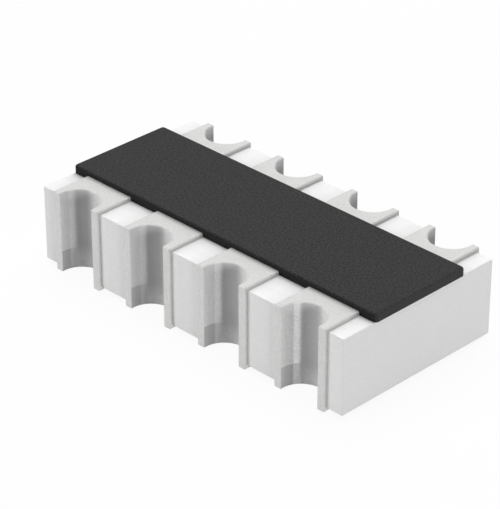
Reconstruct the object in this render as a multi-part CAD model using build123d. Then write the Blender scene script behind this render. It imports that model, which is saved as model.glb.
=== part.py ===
"""Chip resistor array: four thick-film resistors on one alumina body, with eight concave terminals.

The origin is the middle of the footprint, on the plane of the terminals' undersides.
X runs along the rows of terminals, Y runs across the body and Z is up. All sizes are in millimetres.
"""
import os

from build123d import *

# Ceramic body, with a half-round notch at each terminal
row_terminals = 4
terminal_pitch = 0.8
end_margin = 0.15
body_width = 1.6
body_thickness = 0.635
notch_radius = 0.212

# Layers of one terminal, from the ceramic outwards
electrode_thickness = 0.013
nickel_thickness = 0.007
tin_thickness = 0.012
tin_bevel = 0.008

# Lands of one terminal, beside and behind its notch
shoulder_width = 0.019
top_land = 0.108
foot_land = 0.09

# Resistive film, its glass coat and its laser cut
film_thickness = 0.01
film_inset = 0.031
film_overlap = 0.08
film_setback = 0.04
glass_thickness = 0.008
trim_width = 0.03
trim_plunge = 0.18
trim_leg = 0.2
trim_offset = 0.12

# Resin overcoat
cover_thickness = 0.07
cover_overhang = 0.01
cover_corner_radius = 0.03
cover_rim_radius = 0.018

# How far a cutting solid runs out past what it cuts
run_out = 0.1

# Worked out from the sizes above
nickel_depth = electrode_thickness + nickel_thickness
tin_depth = nickel_depth + tin_thickness
electrode_width = 2 * (notch_radius + shoulder_width)
terminal_width = electrode_width + 2 * (nickel_thickness + tin_thickness)
body_length = (row_terminals - 1) * terminal_pitch + terminal_width + 2 * end_margin
side = body_width / 2
floor = tin_depth
top = floor + body_thickness
cover_side = side - notch_radius - top_land
foot_end = side - notch_radius - foot_land
film_end = cover_side - film_setback
electrode_end = film_end - film_overlap
film_width = electrode_width - 2 * film_inset


def block(x, y, z):
    """A box between a low and a high limit along each axis."""
    (x0, x1), (y0, y1), (z0, z1) = sorted(x), sorted(y), sorted(z)
    centre = Pos((x0 + x1) / 2, (y0 + y1) / 2, (z0 + z1) / 2)
    return centre * Box(x1 - x0, y1 - y0, z1 - z0)


def at_terminals(solid):
    """Copies of a front terminal's solid: 1 to 4 from the left in front, 5 to 8 from the right behind."""
    middle = (row_terminals - 1) / 2
    front = [Pos((n - middle) * terminal_pitch, 0, 0) * solid for n in range(row_terminals)]
    return front + [Rot(0, 0, 180) * piece for piece in front]


def at_resistors(solid):
    """Copies of a solid along the body, one for each pair of facing terminals."""
    return at_terminals(solid)[:row_terminals]


def cut_from(solid, *tools):
    """What is left of a solid once the tools are taken out of it."""
    for tool in tools:
        solid = solid - tool
    return solid.solid()


def notch(radius):
    """The room in a front terminal's notch, as wide as twice the radius out to its mouth."""
    mouth = -side - run_out
    back = ThreePointArc((-radius, -side), (0, radius - side), (radius, -side))
    sides = Polyline((radius, -side), (radius, mouth), (-radius, mouth), (-radius, -side))
    outline = make_face(back + sides)
    return Pos(0, 0, -run_out) * extrude(outline, top + 2 * run_out)


def ceramic_body():
    """The alumina block with its notches."""
    half = body_length / 2
    solid = block((-half, half), (-side, side), (floor, top))
    return cut_from(solid, *at_terminals(notch(notch_radius)))


def wrap(depth, top_end, foot_end, bevel=0):
    """A front terminal's metal out to a depth over the ceramic: top land, notch lining and foot."""
    half = electrode_width / 2 + depth - electrode_thickness
    lining_end = notch_radius - side
    solid = block((-half, half), (-side - depth, lining_end), (floor - depth, top + depth))
    solid = solid + block((-half, half), (-side, -top_end), (top, top + depth))
    solid = solid + block((-half, half), (-side, -foot_end), (floor - depth, floor))
    solid = cut_from(solid, notch(notch_radius - depth))
    if bevel:
        solid = chamfer(outer_edges(solid, top_end), bevel)
    ceramic = block((-half, half), (-side, side), (floor, top)) - notch(notch_radius)
    return cut_from(solid, ceramic)


def outer_edges(solid, top_end):
    """A terminal's edges in the open: round its top, foot and front, but not where the overcoat starts."""
    faces = solid.faces()
    rims = faces.sort_by(Axis.Z)[0].edges() + faces.sort_by(Axis.Z)[-1].edges()
    front = faces.filter_by(Axis.Y).group_by(Axis.Y)[0].edges().filter_by(Axis.Z)
    at_cover = rims.filter_by_position(Axis.Y, -top_end, -top_end)
    return [edge for edge in rims + front if edge not in at_cover]


def terminal_layers():
    """The five solids of one front terminal, from the silver on the ceramic out to the tin."""
    half = electrode_width / 2
    opening = notch(notch_radius)
    top_pad = block((-half, half), (-side, -electrode_end), (top, top + electrode_thickness))
    foot_pad = block((-half, half), (-side, -foot_end), (floor - electrode_thickness, floor))
    top_pad = cut_from(top_pad, opening)
    foot_pad = cut_from(foot_pad, opening)

    silver = wrap(electrode_thickness, electrode_end, foot_end)
    nickel = wrap(nickel_depth, cover_side, foot_end - nickel_thickness)
    tin_foot_end = foot_end - nickel_thickness - tin_thickness
    tin = wrap(tin_depth, cover_side, tin_foot_end, tin_bevel)
    return {
        "top_electrode": top_pad,
        "side_electrode": cut_from(silver, top_pad, foot_pad),
        "bottom_electrode": foot_pad,
        "nickel_barrier": cut_from(nickel, silver),
        "tin_terminal": cut_from(tin, nickel, silver),
    }


def draped(growth):
    """The film's room grown on all sides: low on the ceramic and a step up over both electrodes."""
    half = film_width / 2 + growth
    level = top + film_thickness + growth
    solid = block((-half, half), (-electrode_end, electrode_end), (top, level))
    for way in (-1, 1):
        ends = (way * (electrode_end - film_thickness - growth), way * (film_end + growth))
        solid = solid + block((-half, half), ends, (top, level + electrode_thickness))
    return solid


def trim_cut():
    """The laser's L-shaped cut: in from the film's right side, then along the film."""
    edge = film_width / 2
    inner = edge - trim_plunge
    height = (top, top + cover_thickness)
    start = (-trim_offset, trim_width - trim_offset)
    plunge = block((inner, edge + run_out), start, height)
    leg = block((inner, inner + trim_width), (-trim_offset, trim_leg - trim_offset), height)
    return plunge + leg


def resistor_layers():
    """The resistive film and its glass coat, over a pair of facing electrodes."""
    half = electrode_width / 2
    electrodes = [
        block((-half, half), (way * electrode_end, way * side), (top, top + electrode_thickness))
        for way in (-1, 1)
    ]
    trim = trim_cut()
    film = cut_from(draped(0), *electrodes, trim)
    glass = cut_from(draped(glass_thickness), draped(0), *electrodes, trim)
    return {"resistive_element": film, "glass_coat": glass}


def overcoat(buried):
    """The dark resin slab, cast round the layers that lie under it."""
    half = body_length / 2 + cover_overhang
    slab = block((-half, half), (-cover_side, cover_side), (top, top + cover_thickness))
    slab = fillet(slab.edges().filter_by(Axis.Z), cover_corner_radius)
    slab = fillet(slab.faces().sort_by(Axis.Z)[-1].edges(), cover_rim_radius)
    return cut_from(slab, *buried)


def all_pieces():
    """Every solid of the array by its name."""
    pieces = {"ceramic_substrate": ceramic_body()}
    for kind, solid in terminal_layers().items():
        for number, piece in enumerate(at_terminals(solid), 1):
            pieces[f"{kind}_{number}"] = piece
    for kind, solid in resistor_layers().items():
        for number, piece in enumerate(at_resistors(solid), 1):
            pieces[f"{kind}_{number}"] = piece
    under_cover = ("top_electrode", "resistive_element", "glass_coat")
    buried = [piece for name, piece in pieces.items() if name.startswith(under_cover)]
    pieces["overcoat"] = overcoat(buried)
    return pieces


os.makedirs("parts", exist_ok=True)
for name, piece in all_pieces().items():
    export_step(piece, f"parts/{name}.step")
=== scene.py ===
# %% [markdown]
# # A chip resistor array, dressed for its picture
# The object is a thick-film resistor array a little over three millimetres long: a white ceramic
# block, four printed resistors under a dark resin coat, and eight tin-plated terminals that wrap
# round half-round notches. Its fifty solids come from a CAD model and aren't changed here. This
# file gives each of them a finish, sets them on a pale floor, lights them and places the camera.
# All the shapes are in the CAD model, so the lesson is about materials and light on an object so
# small that its grain shows.

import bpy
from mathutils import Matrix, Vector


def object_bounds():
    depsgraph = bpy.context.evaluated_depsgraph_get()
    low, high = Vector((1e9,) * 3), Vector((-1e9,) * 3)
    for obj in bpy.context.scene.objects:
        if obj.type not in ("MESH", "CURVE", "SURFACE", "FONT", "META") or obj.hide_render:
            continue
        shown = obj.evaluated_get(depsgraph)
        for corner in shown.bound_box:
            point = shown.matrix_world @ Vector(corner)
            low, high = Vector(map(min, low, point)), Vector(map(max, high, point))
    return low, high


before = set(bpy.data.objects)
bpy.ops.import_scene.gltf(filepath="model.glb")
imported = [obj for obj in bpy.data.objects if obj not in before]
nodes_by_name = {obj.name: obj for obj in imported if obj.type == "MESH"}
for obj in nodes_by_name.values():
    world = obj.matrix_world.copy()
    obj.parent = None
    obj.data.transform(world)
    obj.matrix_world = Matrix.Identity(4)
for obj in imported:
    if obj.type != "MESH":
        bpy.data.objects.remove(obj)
cad_low, cad_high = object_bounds()
print("pieces:", len(nodes_by_name))

# %% [markdown]
# ## Lengths on this scale
# Everything is in metres, so the whole object is 0.0032 long and a grain of its ceramic is 0.00002.
# Such numbers are easy to get wrong. Each length is written here as a number of millimetres or
# micrometres instead, and the unit also says what kind of detail it is: millimetres for the parts,
# micrometres for the grain.

# %% Units
MM = 0.001
UM = 0.000001
print("size in mm:", [round(length / MM, 3) for length in cad_high - cad_low])

# %% [markdown]
# ## Seven finishes for fifty pieces
# The record sorts the pieces into seven material slots, and each slot becomes one material here.
# The lists could be typed out piece by piece. The names already say what each piece is, so a part of
# the name is enough to sort it, and the total that is printed shows whether one is left over.

# %% Pieces of each finish
def pieces_named(text):
    """The names of the pieces that have a text in their name."""
    return [name for name in nodes_by_name if text in name]


pieces_of = {
    "alumina": pieces_named("ceramic_substrate"),
    "tin_plating": pieces_named("tin_terminal"),
    "nickel_plating": pieces_named("nickel_barrier"),
    "silver_electrode": pieces_named("_electrode_"),
    "resistive_film": pieces_named("resistive_element"),
    "glass_coat": pieces_named("glass_coat"),
    "overcoat_resin": pieces_named("overcoat"),
}
counts = {slot: len(names) for slot, names in pieces_of.items()}
print("pieces per finish:", counts, "in all:", sum(counts.values()))

# %% [markdown]
# ## Adding a node
# A material is a tree of nodes with linked sockets. In the editor they are placed by hand. In a
# script each one takes several lines, which soon hides what the tree does. This helper adds any node
# in one call, with each input set to a value or linked from another node's socket.

# %% A helper for nodes
import bpy


def add_node(tree, kind, inputs=None, **settings):
    """A new node with its settings, and its inputs set to values or linked from sockets."""
    node = tree.nodes.new(kind)
    for name, value in settings.items():
        setattr(node, name, value)
    for name, value in (inputs or {}).items():
        if isinstance(value, bpy.types.NodeSocket):
            tree.links.new(value, node.inputs[name])
        else:
            node.inputs[name].default_value = value
    return node


print("Blender", bpy.app.version_string)

# %% [markdown]
# ## Masks and colours
# Nearly all of a finish is made of masks, numbers from 0 to 1 that change over the surface, and of
# colours mixed by them. A colour ramp node could do both at once, but its stops are hard to name in
# a script. Here a product, one minus a mask, a change of contrast, a soft step and a mix of two
# colours each get a helper. Another one lays a colour over the one below where a mask is, up to
# a share, so that a finish reads as a list of layers. The Mix node has sockets for numbers, vectors
# and colours under the same names, so the ones for colours are picked by their places.

# %% Helpers for masks and colours
MIX_SHARE, MIX_FIRST, MIX_SECOND, MIX_RESULT = 0, 6, 7, 2


def reckon(tree, operation, *values, clamp=False):
    """The result of one Math node on values or sockets."""
    inputs = dict(enumerate(values))
    return add_node(tree, "ShaderNodeMath", inputs, operation=operation, use_clamp=clamp).outputs[0]


def times(tree, first, second):
    """The product of two values or masks."""
    return reckon(tree, "MULTIPLY", first, second)


def rest_of(tree, mask):
    """One minus a mask."""
    return reckon(tree, "SUBTRACT", 1.0, mask)


def stretch(tree, value, contrast):
    """A mask spread about one half by a contrast, and kept between 0 and 1."""
    spread = times(tree, reckon(tree, "SUBTRACT", value, 0.5), contrast)
    return reckon(tree, "ADD", spread, 0.5, clamp=True)


def soft_step(tree, value, limits):
    """A mask that rises smoothly from 0 at the first limit to 1 at the second."""
    inputs = {"Value": value, "From Min": limits[0], "From Max": limits[1]}
    return add_node(tree, "ShaderNodeMapRange", inputs, interpolation_type="SMOOTHSTEP").outputs[0]


def blend(tree, share, first, second):
    """A mix of two colours: the first where the share is 0, the second where it is 1."""
    inputs = {MIX_SHARE: share, MIX_FIRST: first, MIX_SECOND: second}
    return add_node(tree, "ShaderNodeMix", inputs, data_type="RGBA").outputs[MIX_RESULT]


def layer(tree, below, mask, share, colour):
    """A colour laid over the one below where a mask is, at most up to a share."""
    return blend(tree, times(tree, mask, share), below, colour)


def grey(level):
    """A colour without a tint."""
    return (level, level, level, 1.0)


print("a middle grey:", grey(0.5))

# %% [markdown]
# ## Groups
# Grain and drift are on every one of these finishes, and worn edges and inside corners on some of
# them, each at its own size. Copying their nodes into each material would work, but a change would
# then have to be made seven times. A node group is built once, with named inputs, and each material
# places it with its own numbers. The groups put out only masks, heights and normals, which the
# export can bake.

# %% Helpers for groups
def start_group(name, inputs, outputs):
    """A node group: its tree, the sockets that bring its inputs in and those that take results out."""
    tree = bpy.data.node_groups.new(name, "ShaderNodeTree")
    for label, default in inputs.items():
        socket = tree.interface.new_socket(label, in_out="INPUT", socket_type="NodeSocketFloat")
        socket.default_value = default
    for label, kind in outputs.items():
        tree.interface.new_socket(label, in_out="OUTPUT", socket_type="NodeSocket" + kind)
    entry = tree.nodes.new("NodeGroupInput")
    leave = tree.nodes.new("NodeGroupOutput")
    return tree, entry.outputs, leave.inputs


def place_group(tree, group, **values):
    """The outputs of a group placed in a material, its inputs named with _ for each space."""
    inputs = {label.replace("_", " "): value for label, value in values.items()}
    return add_node(tree, "ShaderNodeGroup", inputs, node_tree=group).outputs


print("node groups so far:", len(bpy.data.node_groups))

# %% [markdown]
# ## Grain
# Ceramic, plated tin, fired paste and printed resin are all made of small grains, from one to about
# thirty micrometres across. A cell texture would give sharp crystals, but at this distance a grain
# is only two or three pixels wide and reads as a soft speckle, which noise gives more simply. The
# group lays a fine noise over a coarse one. It puts out a tone for colour and roughness, and the
# same pattern as a height for relief, so that a dark grain is also a low one.

# %% The grain group
FINE_TO_COARSE = 3.3


def build_grain():
    """Fine noise laid over coarse noise, as a tone and as a height."""
    inputs = {"Grain Size": 20 * UM, "Fine Share": 0.4, "Contrast": 1.0}
    tree, entry, leave = start_group("grain", inputs, {"Tone": "Float", "Height": "Float"})
    place = tree.nodes.new("ShaderNodeTexCoord").outputs["Object"]
    scale = reckon(tree, "DIVIDE", 1.0, entry["Grain Size"])
    fine_scale = times(tree, scale, FINE_TO_COARSE)
    coarse, fine = [
        add_node(
            tree, "ShaderNodeTexNoise", {"Vector": place, "Scale": size, "Detail": detail}
        ).outputs["Fac"]
        for size, detail in ((scale, 2.0), (fine_scale, 1.0))
    ]
    fine_part = times(tree, reckon(tree, "SUBTRACT", fine, coarse), entry["Fine Share"])
    mixed = reckon(tree, "ADD", coarse, fine_part)
    tree.links.new(stretch(tree, mixed, entry["Contrast"]), leave["Tone"])
    tree.links.new(mixed, leave["Height"])
    return tree


grain = build_grain()
print("group", grain.name, "has", len(grain.nodes), "nodes")

# %% [markdown]
# ## Drift
# No fired or plated surface is even. It is a little darker in one place than in the next, over a
# tenth to half a millimetre. One soft noise gives that, read at the point's own place on the object,
# so the patches stay where they are from every side.

# %% The drift group
def build_drift():
    """One soft noise, as a tone."""
    inputs = {"Patch Size": 0.3 * MM, "Contrast": 2.0}
    tree, entry, leave = start_group("drift", inputs, {"Tone": "Float"})
    place = tree.nodes.new("ShaderNodeTexCoord").outputs["Object"]
    scale = reckon(tree, "DIVIDE", 1.0, entry["Patch Size"])
    noise = {"Vector": place, "Scale": scale, "Detail": 3.0, "Roughness": 0.55}
    soft = add_node(tree, "ShaderNodeTexNoise", noise).outputs["Fac"]
    tree.links.new(stretch(tree, soft, entry["Contrast"]), leave["Tone"])
    return tree


drift = build_drift()
print("group", drift.name, "has", len(drift.nodes), "nodes")

# %% [markdown]
# ## Worn edges
# Edges show handling first: metal is rubbed bright there and ceramic loses crumbs, and on the ceramic
# the paler edge is partly a painted highlight as well. Painting them by hand would need UV maps. The
# Bevel node finds them by itself: it gives the normal that the surface would have if its edges were
# round. Where that differs from the true normal there is an edge, so one minus their dot product, made
# stronger, is a mask of edges.

# %% The edge group
BEVEL_SAMPLES = 6


def build_edges():
    """A mask that is strong on outer edges."""
    inputs = {"Width": 10 * UM, "Strength": 6.0}
    tree, entry, leave = start_group("edge mask", inputs, {"Mask": "Float"})
    width = {"Radius": entry["Width"]}
    rounded = add_node(tree, "ShaderNodeBevel", width, samples=BEVEL_SAMPLES).outputs["Normal"]
    true = tree.nodes.new("ShaderNodeNewGeometry").outputs["Normal"]
    agree = add_node(
        tree, "ShaderNodeVectorMath", {0: rounded, 1: true}, operation="DOT_PRODUCT"
    ).outputs["Value"]
    mask = reckon(tree, "MULTIPLY", rest_of(tree, agree), entry["Strength"], clamp=True)
    tree.links.new(mask, leave["Mask"])
    return tree


edge_mask = build_edges()
print("group", edge_mask.name, "has", len(edge_mask.nodes), "nodes")

# %% [markdown]
# ## Inside corners
# Where two layers meet, shade falls in a thin dark line, and here that shade is painted into the
# colour. Ambient Occlusion measures how much of the sky over a point is taken by faces nearer than a
# reach. One minus that is a mask that is strongest in the corner and fades over the reach. A short
# reach makes a line of painted shade, and a long one a wide, soft painted shade.

# %% The corner group
SKY_SAMPLES = 8


def build_corners():
    """A mask that is strong in inside corners."""
    inputs = {"Reach": 20 * UM, "Strength": 1.0}
    tree, entry, leave = start_group("corner mask", inputs, {"Mask": "Float"})
    sky = {"Distance": entry["Reach"]}
    seen = add_node(tree, "ShaderNodeAmbientOcclusion", sky, samples=SKY_SAMPLES).outputs["AO"]
    mask = reckon(tree, "MULTIPLY", rest_of(tree, seen), entry["Strength"], clamp=True)
    tree.links.new(mask, leave["Mask"])
    return tree


corner_mask = build_corners()
print("group", corner_mask.name, "has", len(corner_mask.nodes), "nodes")

# %% [markdown]
# ## Which way a face looks
# Sawn ends, pressed sides and the fired top of such a part don't look alike, but they are faces of
# one solid with one material. Each face could be given a slot of its own in the mesh, which this
# file must not touch. The normal tells them apart as well: its X is large on a face that looks along
# the rows, its Y on one that looks across them and its Z on one that looks up. Squares of X and Y
# count both directions alike.

# %% The facing group
def build_facing():
    """Masks of the faces that look up, along the rows and across them."""
    masks = {"Top": "Float", "End": "Float", "Side": "Float"}
    tree, _, leave = start_group("facing", {}, masks)
    true = tree.nodes.new("ShaderNodeNewGeometry").outputs["Normal"]
    ways = add_node(tree, "ShaderNodeSeparateXYZ", {"Vector": true}).outputs
    tree.links.new(reckon(tree, "MAXIMUM", ways["Z"], 0.0), leave["Top"])
    tree.links.new(times(tree, ways["X"], ways["X"]), leave["End"])
    tree.links.new(times(tree, ways["Y"], ways["Y"]), leave["Side"])
    return tree


facing = build_facing()
print("group", facing.name, "has", len(facing.nodes), "nodes")

# %% [markdown]
# ## Relief
# Most edges of the solids are sharp and their faces are smooth, and a real part is neither. Real
# bevels on every edge would be many triangles for edges a pixel wide. The group starts instead from
# the Bevel node's rounded normal, so that edges catch the light as if worn to a few micrometres, and
# lays the grain over it as a bump of a real depth.

# %% The relief group
def build_relief():
    """A normal with rounded edges and a bump on it."""
    inputs = {"Height": 0.5, "Depth": 1 * UM, "Strength": 0.3, "Rounding": 8 * UM}
    tree, entry, leave = start_group("relief", inputs, {"Normal": "Vector"})
    edge = {"Radius": entry["Rounding"]}
    rounded = add_node(tree, "ShaderNodeBevel", edge, samples=BEVEL_SAMPLES).outputs["Normal"]
    bump = {
        "Height": entry["Height"],
        "Distance": entry["Depth"],
        "Strength": entry["Strength"],
        "Normal": rounded,
    }
    tree.links.new(add_node(tree, "ShaderNodeBump", bump).outputs["Normal"], leave["Normal"])
    return tree


relief = build_relief()
print("group", relief.name, "has", len(relief.nodes), "nodes")

# %% [markdown]
# ## Starting a material
# Each finish starts from an empty tree with one shader, because a default tree would have to be
# searched for its nodes. Roughness and normal are fed the same way in all of them: a smoothest
# value, a spread by the grain's tone, and the relief. The shader itself stays in the material,
# where the export looks for it.

# %% Helpers for materials
def start_material(name):
    """A material with one Principled BSDF: the material, its tree and the shader's inputs."""
    material = bpy.data.materials.new(name)
    material.use_nodes = True
    tree = material.node_tree
    tree.nodes.clear()
    shader = tree.nodes.new("ShaderNodeBsdfPrincipled")
    add_node(tree, "ShaderNodeOutputMaterial", {"Surface": shader.outputs["BSDF"]})
    return material, tree, shader.inputs


def texture(tree, shader, grains, smoothest, spread, **bump):
    """Feeds a shader's roughness and normal from its grain."""
    rough = reckon(tree, "ADD", times(tree, grains["Tone"], spread), smoothest)
    tree.links.new(rough, shader["Roughness"])
    normal = place_group(tree, relief, Height=grains["Height"], **bump)["Normal"]
    tree.links.new(normal, shader["Normal"])


def dress(slot, material):
    """Puts a finish on the pieces of one slot."""
    for name in pieces_of[slot]:
        piece = nodes_by_name[name]
        piece.data.materials.clear()
        piece.data.materials.append(material)
    print(material.name, "on", len(pieces_of[slot]), "pieces")


print("node groups so far:", len(bpy.data.node_groups))

# %% [markdown]
# ## Alumina
# The body is cut from a fired sheet of alumina. It is white and matt, its grain shows as a faint
# speckle, and its edges crumble a little. White paint alone would look like plaster. Here the white
# drifts slowly, greyer grains lie in it, and edges are a touch paler, partly as crumbs and partly as a
# painted highlight. A thin line of painted shade marks the corners at the metal.

# %% The alumina's grain and edges
FIRED_WHITE = (grey(0.955), grey(0.985))
GREY_GRAIN = (0.74, 0.74, 0.73, 1)
PALE_CRUMB_AND_HIGHLIGHT = grey(0.98)
CORNER_SHADE = (0.42, 0.42, 0.41, 1)

alumina, tree, shader = start_material("alumina_white")
grains = place_group(tree, grain, Grain_Size=22 * UM, Fine_Share=0.5, Contrast=4.0)
patches = place_group(tree, drift, Patch_Size=0.30 * MM, Contrast=1.8)
edges = place_group(tree, edge_mask, Width=9 * UM, Strength=4.0)
corners = place_group(tree, corner_mask, Reach=18 * UM, Strength=1.2)
even = blend(tree, patches["Tone"], *FIRED_WHITE)
speckled = layer(tree, even, grains["Tone"], share=0.22, colour=GREY_GRAIN)
# Paler edges: partly crumbled ceramic, partly a painted highlight.
crumbled_and_highlit = layer(tree, speckled, edges["Mask"], share=0.35, colour=PALE_CRUMB_AND_HIGHLIGHT)
# A thin line of painted shade in the inside corners at the metal.
lined = layer(tree, crumbled_and_highlit, corners["Mask"], share=0.15, colour=CORNER_SHADE)
texture(
    tree, shader, grains, smoothest=0.55, spread=0.16, Depth=3 * UM, Strength=0.3, Rounding=8 * UM
)
shader["Specular IOR Level"].default_value = 0.2
print(alumina.name, "has", len(tree.nodes), "nodes so far")

# %% [markdown]
# ## Painted shade on the ceramic
# Beside the overcoat and the pads the photo shows the top of the ceramic greyer over about a tenth of
# a millimetre, in their soft shade. That shade is painted into the ceramic's colour here. The cut
# sides don't show it. So the mask of inside corners is placed once more with a long reach, and kept to
# faces that look up.

# %% The painted shade on the alumina's top
PAINTED_SHADOW_GREY = grey(0.1)
SHADOW_SHARE = 0.56

soft_shade = place_group(tree, corner_mask, Reach=140 * UM, Strength=1.6)
on_top = times(tree, place_group(tree, facing)["Top"], SHADOW_SHARE)
# Painted shadow of the overcoat and pads on the ceramic's top.
shadowed_top = layer(tree, lined, soft_shade["Mask"], share=on_top, colour=PAINTED_SHADOW_GREY)
tree.links.new(shadowed_top, shader["Base Color"])
dress("alumina", alumina)

# %% [markdown]
# ## Tin
# The terminals are plated with matt tin, a fine crystal skin with a soft grey sheen. A mirror metal
# would be too dark against a white studio in some faces and too bright in others. Matt tin scatters
# much of its light, so the shader is half metal and half diffuse, over a faintly warm grey. These
# first layers are for the tin in the open, on the lands and the outer strips.

# %% The open tin
MATT_TIN = ((0.69, 0.69, 0.677, 1), (0.75, 0.75, 0.737, 1))
RUBBED_EDGE = (0.84, 0.84, 0.83, 1)

tin, tree, shader = start_material("tin_matt")
grains = place_group(tree, grain, Grain_Size=20 * UM, Fine_Share=0.5, Contrast=4.0)
patches = place_group(tree, drift, Patch_Size=0.12 * MM, Contrast=1.8)
edges = place_group(tree, edge_mask, Width=9 * UM, Strength=5.0)
corners = place_group(tree, corner_mask, Reach=18 * UM, Strength=1.2)
even = blend(tree, patches["Tone"], *MATT_TIN)
plain = layer(tree, even, edges["Mask"], share=0.2, colour=RUBBED_EDGE)
print(tin.name, "has", len(tree.nodes), "nodes so far")

# %% [markdown]
# ## A map of the notch
# Inside a notch the tin isn't one tone, and its tones there are light and shade painted into its
# colour. In the photo the flank beside the lip is dull, with a darker patch of shade at its foot. Next
# to it, in the terminals on the right, comes a pale upright line, a painted highlight. Then comes the
# dark hollow, painted shade, which turns pale again on the far wall, where light is painted. An image
# could hold that, or a mesh cut into bands with a material each, but both would need new UV maps or a
# new mesh. Reading the place of each point needs neither. A half turn about Z brings the rear row onto
# the front one, and WRAP folds the four terminals of a row onto one. What is left is a point's place
# in its row, its distance from the notch's axis, sideways and in all, its depth in the body and its
# height.

# %% Where a point is in its notch
PITCH = 0.8 * MM
BODY_SIDE = 0.8 * MM

place = tree.nodes.new("ShaderNodeTexCoord").outputs["Object"]
axes = add_node(tree, "ShaderNodeSeparateXYZ", {"Vector": place}).outputs
height = axes["Z"]
on_rear = reckon(tree, "GREATER_THAN", axes["Y"], 0.0)
half_turn = reckon(tree, "SUBTRACT", 1.0, times(tree, on_rear, 2.0))
in_row = times(tree, axes["X"], half_turn)
across = reckon(tree, "WRAP", reckon(tree, "ADD", in_row, PITCH / 2), PITCH / 2, -PITCH / 2)
depth = reckon(tree, "SUBTRACT", BODY_SIDE, reckon(tree, "ABSOLUTE", axes["Y"]))
inward = reckon(tree, "MAXIMUM", depth, 0.0)
squares = reckon(tree, "ADD", times(tree, across, across), times(tree, inward, inward))
from_axis = reckon(tree, "SQRT", squares)
print("pitch in mm:", PITCH / MM, "side of the body in mm:", BODY_SIDE / MM)

# %% [markdown]
# ## Bands in the notch
# The masks are soft steps on those lengths. Where a band has a clear edge in the photo, the two
# limits are at most two hundredths of a millimetre apart, under three pixels in the picture. Where
# it fades, they are wider apart. The lining ends just past the notch's radius in the finished metal.
# From left to right in a row the bands lie a little deeper each time, and the pale far wall starts
# a little further right. So a small part of the place in the row is taken off the depth, and off the
# place across, before they are tested.

# %% Masks of the bands
LINING_REACH = 0.1825 * MM
BAND_CREEP = 0.0105
FAR_CREEP = 0.026
LINE_START = (0.058 * MM, 0.076 * MM)
HOLLOW_START = (0.096 * MM, 0.125 * MM)
FAR_START = (-0.059 * MM, 0.016 * MM)
RIGHT_START = (-0.6 * MM, 1.2 * MM)
FOOT_PATCH_TOP = (0.180 * MM, 0.186 * MM)
FOOT_FADE = (0.0, 0.220 * MM)

in_lining = reckon(tree, "LESS_THAN", from_axis, LINING_REACH)
band_depth = reckon(tree, "SUBTRACT", depth, times(tree, in_row, BAND_CREEP))
far_place = reckon(tree, "SUBTRACT", across, times(tree, in_row, FAR_CREEP))
on_line = soft_step(tree, band_depth, LINE_START)
in_hollow = soft_step(tree, band_depth, HOLLOW_START)
on_far_wall = soft_step(tree, far_place, FAR_START)
to_the_right = soft_step(tree, in_row, RIGHT_START)
above_patch = soft_step(tree, height, FOOT_PATCH_TOP)
off_foot = soft_step(tree, height, FOOT_FADE)
print("lining reaches", round(LINING_REACH / MM, 4), "mm from each notch's axis")

# %% [markdown]
# ## Painted light and shade in the notch
# Each band now gets its grey, and most get two, for the left end of a row and for its right end,
# because the painted light grows stronger that way. These greys are painted light and shade: the
# hollow and the patch at the flank's foot are painted shade, the pale line is a painted highlight, and
# the far wall is painted light. The greys aren't the ones of the photo's pixels, because the walls of
# a notch are partly in shade. They were found by rendering and comparing, band by band. Towards its
# foot the hollow turns paler again, as it does in the photo, and that is painted light as well.

# %% The notch's painted light and shade
FLANK_GREYS = (grey(0.65), grey(0.75))
GLINT_LINE_GREYS = (grey(0.74), grey(0.98))
SHADED_PATCH_GREYS = (grey(0.41), grey(0.49))
SHADED_LINE_FOOT_GREYS = (grey(0.60), grey(0.78))
SHADED_HOLLOW_GREYS = (grey(0.54), grey(0.63))
LIT_FAR_WALL = grey(0.92)
LIT_HOLLOW_FOOT = grey(0.97)


def in_its_row(tones):
    """The tone for a point's place in its row, between the left end's and the right end's."""
    return blend(tree, to_the_right, *tones)


# Painted light and shade: a lit flank, a painted highlight on the line, painted shade in the foot
# patch and the hollow, painted light on the far wall and at the hollow's foot.
flank = blend(tree, on_line, in_its_row(FLANK_GREYS), in_its_row(GLINT_LINE_GREYS))
shaded_foot_patch = blend(tree, on_line, in_its_row(SHADED_PATCH_GREYS), in_its_row(SHADED_LINE_FOOT_GREYS))
flank = blend(tree, above_patch, shaded_foot_patch, flank)
shaded_hollow = blend(tree, on_far_wall, in_its_row(SHADED_HOLLOW_GREYS), LIT_FAR_WALL)
shaded_hollow = blend(tree, off_foot, LIT_HOLLOW_FOOT, shaded_hollow)
notch_light_and_shade = blend(tree, in_hollow, flank, shaded_hollow)
skin = blend(tree, in_lining, plain, notch_light_and_shade)
print(tin.name, "has", len(tree.nodes), "nodes so far")

# %% [markdown]
# ## Speckle and painted shade
# Over all of the tin go its grains and a dark line of painted shade in its corners. Two more masks of
# painted shade come from the photo. The thin step where a land stands on the ceramic is dark where it
# looks along the row, and so are the rear row's walls that look along the row, and that shade is
# painted into the tin's colour. Both are picked out by the facing group's End, and the first one also
# by a height just over the ceramic's top.

# %% The tin's colour
STEP_START = (0.667 * MM, 0.672 * MM)
TIN_GRAIN = grey(0.46)
TIN_SHADE = (0.30, 0.30, 0.29, 1)

along_row = place_group(tree, facing)["End"]
open_tin = rest_of(tree, in_lining)
on_step = times(tree, times(tree, soft_step(tree, height, STEP_START), along_row), open_tin)
rear_wall = times(tree, on_rear, along_row)

speckled = layer(tree, skin, grains["Tone"], share=0.28, colour=TIN_GRAIN)
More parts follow.
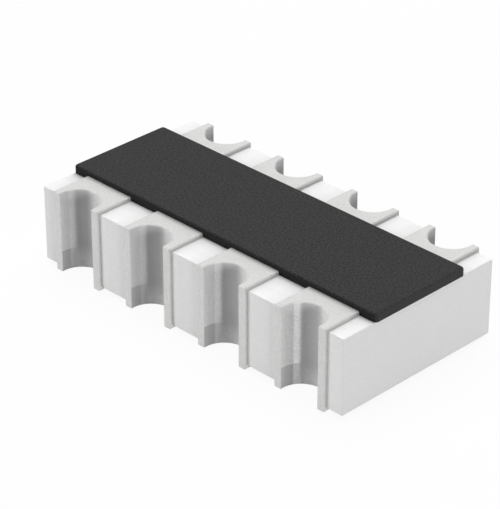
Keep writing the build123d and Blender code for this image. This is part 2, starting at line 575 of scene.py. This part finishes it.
# Painted shade: a dark line in the corners, on the land steps and on the rear row's walls along the
# row.
lined = layer(tree, speckled, corners["Mask"], share=0.15, colour=TIN_SHADE)
stepped = layer(tree, lined, on_step, share=0.2, colour=TIN_SHADE)
rear_shaded = layer(tree, stepped, rear_wall, share=0.45, colour=TIN_SHADE)
tree.links.new(rear_shaded, shader["Base Color"])
print(tin.name, "has", len(tree.nodes), "nodes so far")

# %% [markdown]
# ## Sheen of the tin
# Metallic is a mask as well. In the open it is a half. Down the notch it falls to a little on the
# flank and to nothing in the hollow, as plating down a narrow hole is rougher and duller than
# outside. Only the pale line of the right terminals keeps a shine, so it stays a line from other
# sides too.

# %% The tin's metal and roughness
OPEN_METAL = 0.5
FLANK_METAL = 0.2
LINE_METAL = 0.6
REAR_METAL_LOSS = 0.6
SMOOTHEST_TIN = 0.28
LINING_ROUGHNESS = 0.3

line_metal = times(tree, times(tree, on_line, LINE_METAL - FLANK_METAL), to_the_right)
flank_metal = reckon(tree, "ADD", line_metal, times(tree, above_patch, FLANK_METAL))
lining_metal = times(tree, flank_metal, rest_of(tree, in_hollow))
metal = reckon(
    tree, "ADD", times(tree, open_tin, OPEN_METAL), times(tree, lining_metal, in_lining)
)
kept_metal = rest_of(tree, times(tree, rear_wall, REAR_METAL_LOSS))
tree.links.new(times(tree, metal, kept_metal), shader["Metallic"])
smoothest = reckon(tree, "ADD", times(tree, in_lining, LINING_ROUGHNESS), SMOOTHEST_TIN)
texture(tree, shader, grains, smoothest, spread=0.14, Depth=2 * UM, Strength=0.3, Rounding=7 * UM)
dress("tin_plating", tin)

# %% [markdown]
# ## Overcoat
# The dark slab is a filled resin, printed through a mesh and cured. It is nearly black, and its filler
# shows as pale specks in the top. A plain black would lose them, and a glossy one would look like
# glass. In the photo its long sides are darker than its top and its ends a little paler, and this
# light and shade is painted into the colour: the facing group tells those faces apart.

# %% The overcoat finish
BLACK_RESIN = (grey(0.007), grey(0.011))
FILLER_SPECK = (0.058, 0.058, 0.057, 1)
SHADED_SIDE_BLACK = grey(0.006)
LIT_END_GREY = grey(0.050)

resin, tree, shader = start_material("overcoat_dark")
grains = place_group(tree, grain, Grain_Size=18 * UM, Fine_Share=0.6, Contrast=5.0)
patches = place_group(tree, drift, Patch_Size=0.4 * MM, Contrast=1.5)
faces = place_group(tree, facing)
even = blend(tree, patches["Tone"], *BLACK_RESIN)
speckled = layer(tree, even, grains["Tone"], share=0.9, colour=FILLER_SPECK)
# Painted shade on the long sides and painted light on the ends.
sided = layer(tree, speckled, faces["Side"], share=0.7, colour=SHADED_SIDE_BLACK)
ended = layer(tree, sided, faces["End"], share=0.8, colour=LIT_END_GREY)
tree.links.new(ended, shader["Base Color"])
texture(
    tree, shader, grains, smoothest=0.5, spread=0.25, Depth=3 * UM, Strength=0.6, Rounding=6 * UM
)
shader["Specular IOR Level"].default_value = 0.1
dress("overcoat_resin", resin)

# %% [markdown]
# ## Finishes under the skin
# The silver, the nickel, the resistive film and its glass are covered, so the picture never shows
# them. They still get real finishes, because the parts may be looked at one by one: fired silver
# paste is pale and matt, nickel is a warmer grey and smoother, the film is a sooty black paste and
# the glass over it a green glaze. All four are the same tree of grain and drift, so one function
# makes them, and only their colours, sheen and roughness differ.

# %% The covered finishes
def covered_finish(slot, pale, dark, metallic, smoothest):
    """Makes one of the covered finishes and puts it on its pieces."""
    material, tree, shader = start_material(slot + "_finish")
    grains = place_group(tree, grain, Grain_Size=12 * UM, Fine_Share=0.4, Contrast=2.5)
    patches = place_group(tree, drift, Patch_Size=0.2 * MM, Contrast=1.5)
    clouded = blend(tree, patches["Tone"], dark, pale)
    tree.links.new(layer(tree, clouded, grains["Tone"], share=0.6, colour=pale), shader["Base Color"])
    texture(tree, shader, grains, smoothest, spread=0.15, Depth=1 * UM, Strength=0.3, Rounding=4 * UM)
    shader["Metallic"].default_value = metallic
    dress(slot, material)


covered_finish(
    "silver_electrode",
    pale=(0.80, 0.79, 0.76, 1),
    dark=(0.66, 0.65, 0.62, 1),
    metallic=1.0,
    smoothest=0.50,
)
covered_finish(
    "nickel_plating",
    pale=(0.66, 0.63, 0.58, 1),
    dark=(0.55, 0.53, 0.49, 1),
    metallic=1.0,
    smoothest=0.35,
)
covered_finish(
    "resistive_film",
    pale=(0.050, 0.050, 0.055, 1),
    dark=(0.020, 0.020, 0.022, 1),
    metallic=0.0,
    smoothest=0.60,
)
covered_finish(
    "glass_coat",
    pale=(0.25, 0.40, 0.30, 1),
    dark=(0.16, 0.28, 0.20, 1),
    metallic=0.0,
    smoothest=0.20,
)

# %% [markdown]
# ## Floor
# The photo's ground is plain white, with almost no shadow. A sheet of paper would be modelled as a
# plane, and so is this one. It lies a micrometre under the terminals, because two faces in one plane
# would show as streaks from below. As part of the stage it isn't counted as a piece of the object.

# %% The floor's sheet
import bmesh

FLOOR_HALF = 1.0
FLOOR_DROP = 1 * UM

mesh = bpy.data.meshes.new("floor")
sheet = bmesh.new()
bmesh.ops.create_grid(sheet, x_segments=1, y_segments=1, size=FLOOR_HALF)
bmesh.ops.translate(sheet, verts=sheet.verts, vec=(0, 0, -FLOOR_DROP))
sheet.to_mesh(mesh)
sheet.free()
floor = bpy.data.objects.new("floor", mesh)
bpy.context.scene.collection.objects.link(floor)
print("floor is", FLOOR_HALF * 2, "m wide")

# %% [markdown]
# ## White paper
# More light would whiten a floor, but it would burn out the ceramic too. So the paper looks at what
# kind of ray reaches it. Rays from the camera, and those seen in a reflection or through glass, meet
# a white glow mixed with a little diffuse white, which keeps a faint shadow of the object. Rays that
# carry light meet a plain grey sheet that bounces some of it onto the sides. The white is one level
# short of full white, as the ground in the photo is.

# %% The floor's paper
SHADOW_KEPT = 0.07
FLOOR_TONE = 0.35
WHITE = grey(0.99)


def seen_directly(tree):
    """1 for camera, glossy and transmission rays, 0 for the rays that light the object."""
    path = tree.nodes.new("ShaderNodeLightPath").outputs
    seen = reckon(tree, "MAXIMUM", path["Is Camera Ray"], path["Is Glossy Ray"])
    return reckon(tree, "MAXIMUM", seen, path["Is Transmission Ray"])


def mix_shaders(tree, share, first, second):
    """A mix of two shaders: the first where the share is 0, the second where it is 1."""
    inputs = {0: share, 1: first, 2: second}
    return add_node(tree, "ShaderNodeMixShader", inputs).outputs[0]


paper = bpy.data.materials.new("floor_paper")
paper.use_nodes = True
tree = paper.node_tree
tree.nodes.clear()
bounced = add_node(tree, "ShaderNodeBsdfDiffuse", {"Color": grey(FLOOR_TONE)}).outputs[0]
shaded = add_node(tree, "ShaderNodeBsdfDiffuse", {"Color": WHITE}).outputs[0]
glow = add_node(tree, "ShaderNodeEmission", {"Color": WHITE, "Strength": 1.0}).outputs[0]
white = mix_shaders(tree, 1.0 - SHADOW_KEPT, shaded, glow)
both = mix_shaders(tree, seen_directly(tree), bounced, white)
add_node(tree, "ShaderNodeOutputMaterial", {"Surface": both})
mesh.materials.append(paper)
print("floor bounces", FLOOR_TONE, "and keeps", SHADOW_KEPT, "of its shadow")

# %% [markdown]
# ## World
# The world is the room around the set. It is white where the camera or a reflection sees it, at
# a strength of 1, and dim as a light, so that it only lifts the shadows. A bright world would light
# all sides alike, and the notches would lose their shape.

# %% The world
AMBIENT = 0.18

world = bpy.data.worlds.new("studio")
bpy.context.scene.world = world
world.use_nodes = True
tree = world.node_tree
tree.nodes.clear()
dim = add_node(tree, "ShaderNodeBackground", {"Color": WHITE, "Strength": AMBIENT}).outputs[0]
white = add_node(tree, "ShaderNodeBackground", {"Color": WHITE, "Strength": 1.0}).outputs[0]
both = mix_shaders(tree, seen_directly(tree), dim, white)
add_node(tree, "ShaderNodeOutputWorld", {"Surface": both})
print("world lights at", AMBIENT)

# %% [markdown]
# ## Watts from a share
# The light stays at a plain level: white ceramic on top comes out just under white. Watts don't say
# that, so each lamp states its share of the level instead. A small lamp of P watts at a distance
# d makes a white sheet as bright as P / (pi squared times d squared), and that gives the watts. One
# as wide as its distance gives somewhat less. The lamps don't show in reflections, because their
# bright rectangles would be sparks on the rims of the notches.

# %% A helper for lamps
import math

from mathutils import Vector

LAMP_DISTANCE = 0.5
middle = (cad_low + cad_high) / 2


def add_lamp(name, azimuth, elevation, width, height, share):
    """An area lamp aimed at the object, its azimuth in degrees from the front towards the right."""
    data = bpy.data.lights.new(name, "AREA")
    data.shape = "RECTANGLE"
    data.size = width
    data.size_y = height
    data.energy = share * math.pi**2 * LAMP_DISTANCE**2
    lamp = bpy.data.objects.new(name, data)
    bpy.context.scene.collection.objects.link(lamp)
    turn, lift = math.radians(azimuth), math.radians(elevation)
    way = Vector((math.sin(turn) * math.cos(lift), -math.cos(turn) * math.cos(lift), math.sin(lift)))
    lamp.location = middle + way * LAMP_DISTANCE
    lamp.rotation_mode = "QUATERNION"
    lamp.rotation_quaternion = (-way).to_track_quat("-Z", "Y")
    lamp.visible_glossy = False
    print(name, "lamp:", round(data.energy, 3), "W")


# %% [markdown]
# ## The large lamp
# In the photo the overcoat throws only a soft shade on the ceramic, so the light from above comes
# from a large source. A small lamp would draw a hard line there. It hangs a little to the back left,
# which keeps the front and the right end darker than the top.

# %% The overhead lamp
add_lamp("overhead", azimuth=225, elevation=75, width=0.6, height=0.6, share=1.05)

# %% [markdown]
# ## The strips
# The walls are lit by strips a few degrees over the floor, so that the faces on top gain little from
# them. Two stand on the right. One of them reaches into each notch about as far as the pale line,
# where the notch's other lip stops it. The other is narrow, looks almost straight at the right end
# and passes the notches by. The strip on the left is wide, so its light fades in softly on the far
# wall of each notch. It also lights the front. The one behind is for the other views.

# %% The strip lamps
add_lamp("right_strip", azimuth=72, elevation=9, width=0.10, height=0.12, share=0.25)
add_lamp("end_strip", azimuth=84, elevation=9, width=0.05, height=0.12, share=0.16)
add_lamp("left_strip", azimuth=-35, elevation=9, width=0.28, height=0.12, share=0.41)
add_lamp("rear_strip", azimuth=206, elevation=10, width=0.15, height=0.12, share=0.30)

# %% [markdown]
# ## Camera
# The camera could be turned by eye until the picture looks right. Instead, its place and lens come
# from a least squares fit of a perspective view to 25 points on the object's straight edges, with
# the body's length held at 3.2 mm. It stands only 19 mm away, so the nearest clipping distance is
# brought in from its default of a tenth of a metre. The fit gives the lens in pixels, and the lens
# in millimetres follows from the sensor's width and the picture's longer side.

# %% The camera
CAMERA_BACK = Vector((0.6156, -0.6124, 0.4961))
CAMERA_DISTANCE = 18.81 * MM
AIM = Vector((-0.172, 0.041, 0.296)) * MM
FOCAL_PIXELS = 2440.4
LONGER_SIDE = 509
SENSOR_WIDTH = 36.0

data = bpy.data.cameras.new("camera")
camera = bpy.data.objects.new("camera", data)
bpy.context.scene.collection.objects.link(camera)
camera.location = AIM + CAMERA_BACK * CAMERA_DISTANCE
camera.rotation_mode = "QUATERNION"
camera.rotation_quaternion = (-CAMERA_BACK).to_track_quat("-Z", "Y")
data.sensor_width = SENSOR_WIDTH
data.lens = FOCAL_PIXELS * SENSOR_WIDTH / LONGER_SIDE
data.clip_start = 1 * MM
data.clip_end = 10.0
bpy.context.scene.camera = camera
bpy.context.scene.view_settings.view_transform = "Standard"
pixel = CAMERA_DISTANCE / FOCAL_PIXELS
print("lens:", round(data.lens, 1), "mm, one pixel is", round(pixel / UM, 2), "micrometres")
